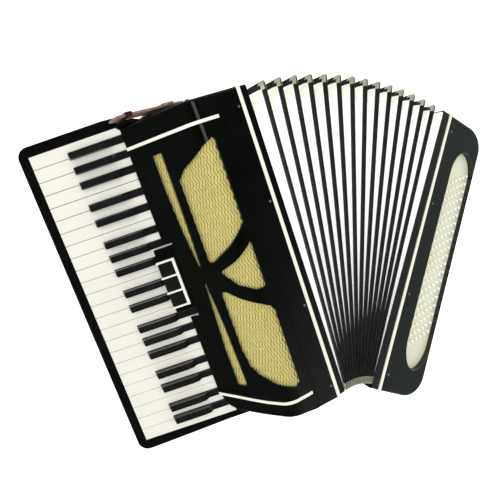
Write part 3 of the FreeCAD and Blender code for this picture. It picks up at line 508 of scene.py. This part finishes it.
def grille_cloth():
    """Pressed metal cloth, its ribs stepping from side to side; the flat floor strip between each rib and the
    next is painted darker as shade.
    """
    columns, rows = [], []
    start, stop = MESH_SPAN
    count = int((stop - start) / RIB_PITCH)
    profile = ((0.0, MESH_FLOOR), (0.2, MESH_PEAK), (0.58, MESH_PEAK), (0.8, MESH_FLOOR))
    for rib in range(count):
        columns += [(start + (rib + part) * RIB_PITCH, inset) for part, inset in profile]
    steps = int((MESH_Y[1] - MESH_Y[0]) / (ZIGZAG / 4))
    zig = [0.0, 1.0, 1.0, 0.0]
    for row in range(steps + 1):
        rows.append((MESH_Y[0] + row * ZIGZAG / 4, ZIGZAG_REACH * zig[row % 4]))
    verts, faces = [], []
    for y, shift in rows:
        for distance, inset in columns:
            fade = min(1.0, (distance - start) / RIB_PITCH, (stop - distance) / RIB_PITCH)
            x, z = cover_point(distance + shift * max(fade, 0.0), inset)
            verts.append(place(x, y, z))
    width = len(columns)
    shaded = []
    for i in range(len(rows) - 1):
        for j in range(width - 1):
            a = i * width + j
            faces.append((a, a + 1, a + width + 1, a + width))
            # painted shade: the floor strip between ribs takes the darker gold_shade material
            shaded.append(1 if j % 4 == 3 else 0)
    obj = piece("grille_cloth", verts, faces, [MATERIALS["gold_mesh"], GOLD_SHADE], "treble_side",
                20, shaded)
    solid = obj.modifiers.new("thickness", "SOLIDIFY")
    solid.thickness, solid.offset = 0.0002, -1
    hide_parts("grille_mesh")


grille_cloth()


# ---- straps ----------------------------------------------------------------------------------------------
def strap_line(stations):
    """Smoothed line of (centre, width direction) through stations, its corners rounded into bends."""
    points = [(Vector(c), Vector(a).normalized()) for c, a in stations]
    marks = [0.0]
    for (near, _), (far, _) in zip(points, points[1:]):
        marks.append(marks[-1] + (far - near).length)

    def at(distance):
        span = max(i for i, mark in enumerate(marks[:-1]) if mark <= distance + 1e-9)
        part = (distance - marks[span]) / (marks[span + 1] - marks[span])
        (near, near_width), (far, far_width) = points[span:span + 2]
        return near.lerp(far, part), near_width.lerp(far_width, part)

    def smooth(distance):
        reach = min(BEND, distance, marks[-1] - distance)
        samples = [at(distance + reach * k / 6) for k in range(-6, 7)]
        return sum((s[0] for s in samples), Vector()) / 13, sum((s[1] for s in samples), Vector()) / 13

    count = int(marks[-1] / STRAP_STEP)
    line = [smooth(marks[-1] * k / count) for k in range(count + 1)]
    result = []
    for index, (centre, across) in enumerate(line):
        forward = line[min(index + 1, count)][0] - line[max(index - 1, 0)][0]
        through = forward.cross(across).normalized()
        result.append((centre, through.cross(forward).normalized(), through, forward.normalized()))
    return result


def strap_section(half, thick):
    """Rounded edges, a slightly crowned middle and a groove inside each stitched edge."""
    side = [(half - 0.7, -thick), (half, -thick * 0.4), (half, thick * 0.4), (half - 0.7, thick)]
    top = [(half - 3.2, thick), (half - 3.8, thick - 0.25), (half - 4.4, thick)]
    crown = [(half * 0.4, thick + 0.05), (-half * 0.4, thick + 0.05)]
    top_points = top + crown + [(-a, t) for a, t in reversed(top)]
    return side + top_points + [(-a, t) for a, t in reversed(side)]


def leather_strap(build, line, width, thick, to_place, stitch=5.5):
    half = width / 2
    section = strap_section(half, thick / 2)
    taper = len(line) - 1
    rings = []
    for index, (centre, across, through, _) in enumerate(line):
        end = min(index, taper - index)
        shrink = 1.0 if end > 1 else 0.9 + 0.05 * end
        rings.append([to_place(centre + across * (a * shrink) + through * t) for a, t in section])
    build.rings(rings, 0)
    length, walked = 0.0, stitch
    for index in range(1, taper):
        centre, across, through, forward = line[index]
        length += (centre - line[index - 1][0]).length
        if length < walked or index < 2 or index > taper - 2:
            continue
        walked += stitch
        for side in (-1, 1):
            for face in (-1, 1):
                depth = thick / 2 - 0.1 * (face > 0)
                middle = centre + across * (side * (half - 3.8)) + through * (face * depth)
                rings = []
                for along, size in ((-1.8, 0.25), (-1.1, 0.4), (1.1, 0.4), (1.8, 0.25)):
                    spot = middle + forward * along
                    rings.append([
                        to_place(spot + across * (size * math.cos(a)) + through * (size * 0.7 * math.sin(a)))
                        for a in (0.4, 2.0, 3.5, 5.1)])
                build.rings(rings, 1)


def row_place(point):
    return place(*point)


def shoulder_straps():
    y = CASE_LENGTH + 8
    right, low_z = (1, 0, 0), 0.5 + STRAP_THICK / 2
    routes = {
        "shoulder_strap_end": [((-58, y, 127), (0.28, 0, 1)), ((-85, y, 134), (0.3, 0, 1)),
                               ((-115, y, 143), (0.26, 0, 1)), ((-157, y, 152), (0.2, 0, 1))],
        "shoulder_strap_keyboard": [
            ((-82, y + 2, 113), right), ((-82, y + 4, 70), right), ((-83, y + 2, low_z), right),
            ((-88, 448, low_z), (1, 0.3, 0)), ((-110, 428, low_z), (0.6, 1, 0)),
            ((-168, 414, low_z), (0.6, 1, 0)), ((-190, 385, low_z), (1, 0.3, 0)),
            ((-192, 240, low_z), right), ((-188, 110, low_z), right), ((-176, 72, low_z), right),
            ((-173, 44, 13), right), ((-173, 22, 13), right)],
        "shoulder_strap_body": [((-20, y, 61), right), ((-20, y, low_z), right), ((-20, -9, low_z), right),
                                ((-20, -9, 51), right)],
    }
    for name, stations in routes.items():
        build = Builder()
        leather_strap(build, strap_line(stations), STRAP_WIDTH, STRAP_THICK, row_place)
        build.make(name, [MATERIALS["tan_leather"], THREAD], "treble_side", 40)
    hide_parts("shoulder_straps")


def bar(build, start, end, half_a, half_b, up):
    """Rounded bar between two points in millimetres."""
    start, end, up = Vector(start), Vector(end), Vector(up)
    forward = (end - start).normalized()
    side = forward.cross(up).normalized()
    up = side.cross(forward)
    rings = []
    for spot, size in ((start, 0.75), (start + forward * 0.6, 1), (end - forward * 0.6, 1), (end, 0.75)):
        rings.append([row_place(spot + side * (half_a * size * a) + up * (half_b * size * b))
                      for a, b in ((1, 0.5), (0.5, 1), (-0.5, 1), (-1, 0.5),
                                   (-1, -0.5), (-0.5, -1), (0.5, -1), (1, -0.5))])
    build.rings(rings)


def strap_hardware():
    """Roller buckle, its prong and the keeper loop of the buckled strap end."""
    y = CASE_LENGTH + 8
    build = Builder()
    lean = Vector((0.3, 0, 1)).normalized()
    run = Vector((-1, 0, 0.3)).normalized()
    centre = Vector((-86, y, 134.5))
    reach, gap = 20.5, 7.5
    out, lift = (0, 1, 0), Vector((0, 2.2, 0))
    for side in (-1, 1):
        bar(build, centre + run * (side * gap) - lean * reach + lift,
            centre + run * (side * gap) + lean * reach + lift, 1.3, 1.0, out)
        bar(build, centre + lean * (side * reach) - run * (gap + 1) + lift,
            centre + lean * (side * reach) + run * (gap + 1) + lift, 1.3, 1.0, out)
    bar(build, centre - run * gap + Vector((0, 3.0, 0)),
        centre + run * gap + Vector((0, 3.4, 0)), 1.2, 0.8, out)
    build.make("strap_buckle", [CORNER_METAL], "treble_side")
    keeper = Builder()
    centre = Vector((-143, y, 149.5))
    lean = Vector((0.22, 0, 1)).normalized()
    reach = 18.5
    for offset in (Vector((0, 2.4, 0)), Vector((0, -2.4, 0))):
        bar(keeper, centre - lean * reach + offset, centre + lean * reach + offset, 4.5, 0.7, out)
    for side in (-1, 1):
        spot = centre + lean * (side * reach)
        bar(keeper, spot + Vector((0, -2.8, 0)), spot + Vector((0, 2.8, 0)), 4.5, 0.7, (0, 0, 1))
    keeper.make("strap_keeper", [MATERIALS["black_leather"]], "treble_side")


def bass_strap():
    """Hand strap in one flat arc over the outer face of the bass casing."""
    build = Builder()
    half_span, rise = 203.0, 29.9
    radius = ((half_span ** 2) + (rise ** 2)) / (2 * rise)
    line = []
    span = math.asin(half_span / radius)
    for step in range(61):
        angle = -span + 2 * span * step / 60
        out = BASS_WIDTH + 2.1 + radius * math.cos(angle) - (radius - rise)
        centre = Vector((out, 225 + radius * math.sin(angle) * 0.985, 85))
        forward = Vector((-math.sin(angle), math.cos(angle), 0))
        line.append((centre, Vector((0, 0, 1)), forward.cross(Vector((0, 0, 1))), forward))
    leather_strap(build, line, 66.0, 3.6, lambda p: BASS(p.x, p.y, p.z), 6.0)
    obj = build.make("bass_hand_strap", [MATERIALS["black_leather"], BLACK_THREAD], "bass_side",
                     40)
    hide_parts("bass_strap")


def back_cushion():
    """Flat velvet pad with a piped edge, under the treble casing."""
    x0, x1, y0, y1 = -136.0, -44.0, 46.0, 400.0
    build = Builder()
    cx, cy, hx, hy = (x0 + x1) / 2, (y0 + y1) / 2, (x1 - x0) / 2, (y1 - y0) / 2
    layers = [(0.0, 0.90), (0.3, 0.955), (2.4, 0.992), (5.0, 0.998), (6.2, 0.996), (6.9, 1.0), (7.6, 0.996),
              (8.8, 0.998), (11.4, 0.992), (13.6, 0.955), (13.9, 0.90)]
    rings = []
    for z, size in layers:
        ring = []
        for step in range(96):
            angle = math.tau * step / 96
            c, s = math.cos(angle), math.sin(angle)
            px = abs(c) ** (2 / 9) * (1 if c >= 0 else -1)
            py = abs(s) ** (2 / 9) * (1 if s >= 0 else -1)
            inset = (1 - size) * hx
            ring.append(place(cx + px * (hx - inset), cy + py * (hy - inset), z))
        rings.append(ring)
    build.rings(rings, 0)
    obj = build.make("back_cushion", [MATERIALS["back_cloth"]], "treble_side", 50)
    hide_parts("back_pad")


shoulder_straps()
strap_hardware()
bass_strap()
back_cushion()


# ---- studio ----------------------------------------------------------------------------------------------
def floor():
    mesh = bpy.data.meshes.new("studio_floor")
    size = 6.0
    corners = ((-size, -size), (size, -size), (size, size), (-size, size))
    mesh.from_pydata([(x, y, -0.0002) for x, y in corners], [], [(0, 1, 2, 3)])
    m = Nodes("studio_floor", Base_Color=(0.93, 0.93, 0.93, 1), Roughness=0.9, Emission_Strength=0.55)
    m.shader.inputs["Emission Color"].default_value = (1, 1, 1, 1)
    mesh.materials.append(m.material)
    obj = bpy.data.objects.new("studio_floor", mesh)
    bpy.context.scene.collection.objects.link(obj)
    obj.visible_glossy = False


def world():
    """White for the camera and diffuse light; polished surfaces see a dark ceiling and keyboard side."""
    scene = bpy.context.scene
    scene.world = bpy.data.worlds.new("studio")
    scene.world.use_nodes = True
    tree = scene.world.node_tree
    background = tree.nodes["Background"]
    coords = tree.nodes.new("ShaderNodeTexCoord")
    split = tree.nodes.new("ShaderNodeSeparateXYZ")
    tree.links.new(coords.outputs["Generated"], split.inputs[0])
    shade = tree.nodes.new("ShaderNodeMapRange")
    shade.interpolation_type = "SMOOTHSTEP"
    for key, value in (("From Min", 0.92), ("From Max", 0.62), ("To Min", 0.015), ("To Max", 0.36)):
        shade.inputs[key].default_value = value
    tree.links.new(split.outputs["Z"], shade.inputs["Value"])
    side = tree.nodes.new("ShaderNodeMapRange")
    side.interpolation_type = "SMOOTHSTEP"
    for key, value in (("From Min", -0.5), ("From Max", 0.0), ("To Min", 0.12), ("To Max", 1.0)):
        side.inputs[key].default_value = value
    tree.links.new(split.outputs["X"], side.inputs["Value"])
    both = tree.nodes.new("ShaderNodeMath")
    both.operation = "MULTIPLY"
    tree.links.new(shade.outputs["Result"], both.inputs[0])
    tree.links.new(side.outputs["Result"], both.inputs[1])
    tint = tree.nodes.new("ShaderNodeCombineColor")
    for channel, factor in (("Red", 0.86), ("Green", 1.0), ("Blue", 0.92)):
        scaled = tree.nodes.new("ShaderNodeMath")
        scaled.operation = "MULTIPLY"
        scaled.inputs[1].default_value = factor
        tree.links.new(both.outputs[0], scaled.inputs[0])
        tree.links.new(scaled.outputs[0], tint.inputs[channel])
    path = tree.nodes.new("ShaderNodeLightPath")
    mix = tree.nodes.new("ShaderNodeMix")
    mix.data_type = "RGBA"
    colours = [s for s in mix.inputs if s.type == "RGBA"]
    colours[0].default_value = (1, 1, 1, 1)
    tree.links.new(tint.outputs[0], colours[1])
    tree.links.new(path.outputs["Is Glossy Ray"], mix.inputs["Factor"])
    tree.links.new(next(o for o in mix.outputs if o.type == "RGBA"), background.inputs["Color"])
    background.inputs["Strength"].default_value = 1.0


def area_light(name, location, target, size, power, glossy):
    data = bpy.data.lights.new(name, "AREA")
    data.shape, data.size, data.size_y, data.energy = "RECTANGLE", size[0], size[1], power
    obj = bpy.data.objects.new(name, data)
    obj.location = location
    obj.rotation_euler = (Vector(target) - Vector(location)).to_track_quat("-Z", "Y").to_euler()
    obj.visible_glossy = glossy
    bpy.context.scene.collection.objects.link(obj)


def camera():
    """Standing over the keyboard side, looking down across the front."""
    data = bpy.data.cameras.new("camera")
    data.lens, data.sensor_width = 28.73, 36.0
    data.shift_x, data.shift_y = 0.0282, -0.0918
    data.clip_start, data.clip_end = 0.01, 50
    obj = bpy.data.objects.new("camera", data)
    right, up, back = (0.8493, -0.3217, 0.4185), (0.355, 0.9349, -0.0019), (-0.3906, 0.1502, 0.9082)
    turn = Matrix((right, up, back)).transposed().to_4x4()
    obj.matrix_world = Matrix.Translation(place(-260.4, 404.0, FRONT_Z + 473.8)) @ turn
    bpy.context.scene.collection.objects.link(obj)
    bpy.context.scene.camera = obj


floor()
world()
area_light("key_light", (-1.2, 1.4, 2.6), (0, 0, 0.1), (2.0, 2.0), 26, False)
area_light("streak_light", (-0.25, 0.42, 1.5), (-0.14, 0.2, 0.2), (0.30, 0.6), 0.8, True)
camera()
bpy.context.scene.view_settings.view_transform = "Standard"
